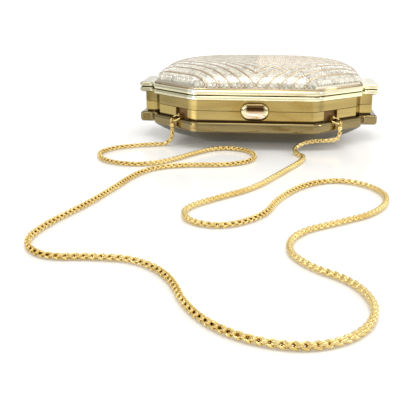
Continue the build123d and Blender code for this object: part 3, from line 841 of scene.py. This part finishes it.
# %% The links
LINK_WIRE = 0.47 * MM
REACH_OUT = 1.02 * MM
REACH_AHEAD = 2.7 * MM
LINK_BOW = 0.45 * MM  # half the width of the wire loop
LAST_LINK = 2.4 * MM  # room for a link's own length at the line's end
loop_parts = 22
wire_sides = 6
wire_turns = [2 * math.pi * a / wire_sides for a in range(wire_sides)]
link_profile = [(LINK_WIRE * math.cos(turn), LINK_WIRE * math.sin(turn)) for turn in wire_turns]
verts, faces = [], []
count = int((length - LAST_LINK) / LINK_STEP) + 2
side = Vector((1, 0, 0))
for number in range(count):
    here, direction = along_path(0.2 * MM + number * LINK_STEP)
    level = direction.cross(Vector((0, 0, 1)))
    side = level.normalized() if level.length > 0.4 else (side - direction * side.dot(direction)).normalized()
    other = direction.cross(side)
    turn = math.radians(45 + 90 * (number % 2) + random.uniform(-5, 5))
    n = side * math.cos(turn) + other * math.sin(turn)
    b = direction.cross(n)
    centres = []
    for i in range(loop_parts):
        angle = 2 * math.pi * i / loop_parts
        reach = math.cos(angle)
        wide = LINK_BOW * math.sin(angle)
        out = REACH_OUT * math.sin(math.pi / 2 * reach)
        ahead = REACH_AHEAD * abs(reach) ** 1.25
        centres.append(here + n * out + b * wide + direction * ahead)
    sides, ups = [], []
    for i in range(loop_parts):
        ahead = (centres[(i + 1) % loop_parts] - centres[i - 1]).normalized()
        up = (centres[i] - here).cross(ahead)
        up = up.normalized() if up.length > 1e-9 else n
        sides.append(ahead.cross(up).normalized())
        ups.append(up)
    sweep(verts, faces, centres, sides, ups, link_profile, True)
chain = add_mesh("chain_links", verts, faces, chain_gold)
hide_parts("chain")
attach(chain, "case")
print("links", count, "faces", len(chain.data.polygons))

# %% [markdown]
# ## Finishes on the measured metal
#
# The casings, hinge, lugs and inner clasp keep their measured shape and take the gold finishes,
# except for the hinge's steel pin; the casings' gold carries the painted light and shade set above. The front
# panel takes the same pale foil as the bed over it. A new mesh for any of these would only copy a shape that
# is already right.

# %% Metal finishes
NODE_MATERIALS = {
    # The two casing metals carry painted light and shade.
    "back_casing": back_metal, "front_casing": front_metal, "front_panel": foil,
    "hinge_leaf_back": gold, "hinge_leaf_front": gold, "hinge_pin": steel,
    "clasp_hook": gold_satin, "clasp_striker": gold_satin, "clasp_bracket": gold_satin,
    "chain_lug_left": gold, "chain_lug_right": gold,
}
for node, material in NODE_MATERIALS.items():
    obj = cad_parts[node]
    obj.data.materials.clear()
    obj.data.materials.append(material)
print("finished", len(NODE_MATERIALS), "nodes")

# %% [markdown]
# ## Studio
#
# A pale surface with a slight gloss and a faint warm glow, which lifts the shadow under the bag.
# On the clasp's side the sky is dim and warm near eye level and bright above, so that the polished
# rims show dark lines. It is plain behind the hinge and dimmer at the far left. The metal reflects
# this sky, but the camera is shown plain white. Three square lights stand above, left and right.

# %% Surface
floor_mesh = bpy.data.meshes.new("floor")
reach = 6.0
corners = [(-reach, -reach, 0), (reach, -reach, 0), (reach, reach, 0), (-reach, reach, 0)]
floor_mesh.from_pydata(corners, [], [(0, 1, 2, 3)])
floor = bpy.data.objects.new("floor", floor_mesh)
bpy.context.scene.collection.objects.link(floor)
material, nodes, links, shader = new_tree("pale_floor")
patches = noise(nodes, links, 3)
links.new(ramp(nodes, links, patches, [(0.3, (0.90, 0.90, 0.90)), (0.7, (0.93, 0.93, 0.925))]),
          shader.inputs["Base Color"])
links.new(spread(nodes, links, noise(nodes, links, 20), 0.14, 0.18), shader.inputs["Roughness"])
shader.inputs["Specular IOR Level"].default_value = 0.3
shader.inputs["Emission Color"].default_value = (1.0, 0.95, 0.84, 1)
shader.inputs["Emission Strength"].default_value = 0.10
floor_mesh.materials.append(material)

# %% Sky and lights
world = bpy.data.worlds.new("studio")
bpy.context.scene.world = world
world.use_nodes = True
nodes, links = world.node_tree.nodes, world.node_tree.links
place = nodes.new("ShaderNodeTexCoord")
split = nodes.new("ShaderNodeSeparateXYZ")
links.new(place.outputs["Generated"], split.inputs["Vector"])
sky = nodes.new("ShaderNodeValToRGB")
STOPS = [(0.0, (0.50, 0.46, 0.40)), (0.06, (0.28, 0.24, 0.18)), (0.13, (0.35, 0.31, 0.25)),
         (0.22, (1.5, 1.5, 1.45)), (0.6, (1.05, 1.05, 1.05)), (1.0, (0.95, 0.95, 0.95))]
while len(sky.color_ramp.elements) < len(STOPS):
    sky.color_ramp.elements.new(0.5)
for element, (position, colour) in zip(sky.color_ramp.elements, STOPS):
    element.position = position
    element.color = (*colour, 1)
links.new(split.outputs["Z"], sky.inputs["Fac"])
ahead = nodes.new("ShaderNodeMapRange")
ahead.inputs["From Min"].default_value = -0.35
ahead.inputs["From Max"].default_value = 0.15
links.new(split.outputs["Y"], ahead.inputs["Value"])
both = nodes.new("ShaderNodeMix")
both.data_type = "RGBA"
links.new(ahead.outputs["Result"], both.inputs["Factor"])
links.new(sky.outputs["Color"], both.inputs["A"])
both.inputs["B"].default_value = (1.08, 1.08, 1.08, 1)
left = nodes.new("ShaderNodeMapRange")
left.inputs["From Min"].default_value = -0.80
left.inputs["From Max"].default_value = -0.50
left.inputs["To Min"].default_value = 0.6
links.new(split.outputs["X"], left.inputs["Value"])
shade = nodes.new("ShaderNodeVectorMath")
shade.operation = "SCALE"
links.new(both.outputs["Result"], shade.inputs[0])
links.new(left.outputs["Result"], shade.inputs["Scale"])
rays = nodes.new("ShaderNodeLightPath")
seen = nodes.new("ShaderNodeMix")
seen.data_type = "RGBA"
links.new(rays.outputs["Is Camera Ray"], seen.inputs["Factor"])
links.new(shade.outputs["Vector"], seen.inputs["A"])
seen.inputs["B"].default_value = (1.12, 1.12, 1.12, 1)
background = nodes["Background"]
links.new(seen.outputs["Result"], background.inputs["Color"])
background.inputs["Strength"].default_value = 0.92


def softbox(name, place, aim, size, power):
    """A square light that faces a point."""
    light = bpy.data.lights.new(name, "AREA")
    light.shape = "SQUARE"
    light.size = size
    light.energy = power
    lamp = bpy.data.objects.new(name, light)
    lamp.location = place
    lamp.rotation_euler = (Vector(aim) - Vector(place)).to_track_quat("-Z", "Y").to_euler()
    bpy.context.scene.collection.objects.link(lamp)


softbox("overhead", (0.0, -0.3, 1.4), (0.0, -0.1, 0.0), 0.7, 4.0)
softbox("left_front", (-0.62, -0.55, 0.22), (-0.04, -0.05, 0.025), 0.16, 0.55)
softbox("right_side", (0.75, -0.1, 0.45), (0.0, 0.0, 0.03), 0.25, 1.2)

# %% [markdown]
# The camera stands on the clasp's side and looks down by about 16 degrees, so that the dome, the
# front rims and the whole chain are in view.

# %% Camera
LENS_RATIO = 765 / 416  # focal length over the sensor's width
camera_data = bpy.data.cameras.new("camera")
camera_data.sensor_width = 36.0
camera_data.lens = camera_data.sensor_width * LENS_RATIO
camera = bpy.data.objects.new("camera", camera_data)
bpy.context.scene.collection.objects.link(camera)
camera.location = (21.0 * MM, -516.4 * MM, 97.5 * MM)
pitch = math.radians(16.25)
look = Vector((-0.1063 * math.cos(pitch), 0.9943 * math.cos(pitch), -math.sin(pitch)))
camera.rotation_euler = look.to_track_quat("-Z", "Y").to_euler()
bpy.context.scene.camera = camera
bpy.context.scene.view_settings.view_transform = "Standard"
print("camera", [round(v, 3) for v in camera.location], "lens", round(camera_data.lens, 1))
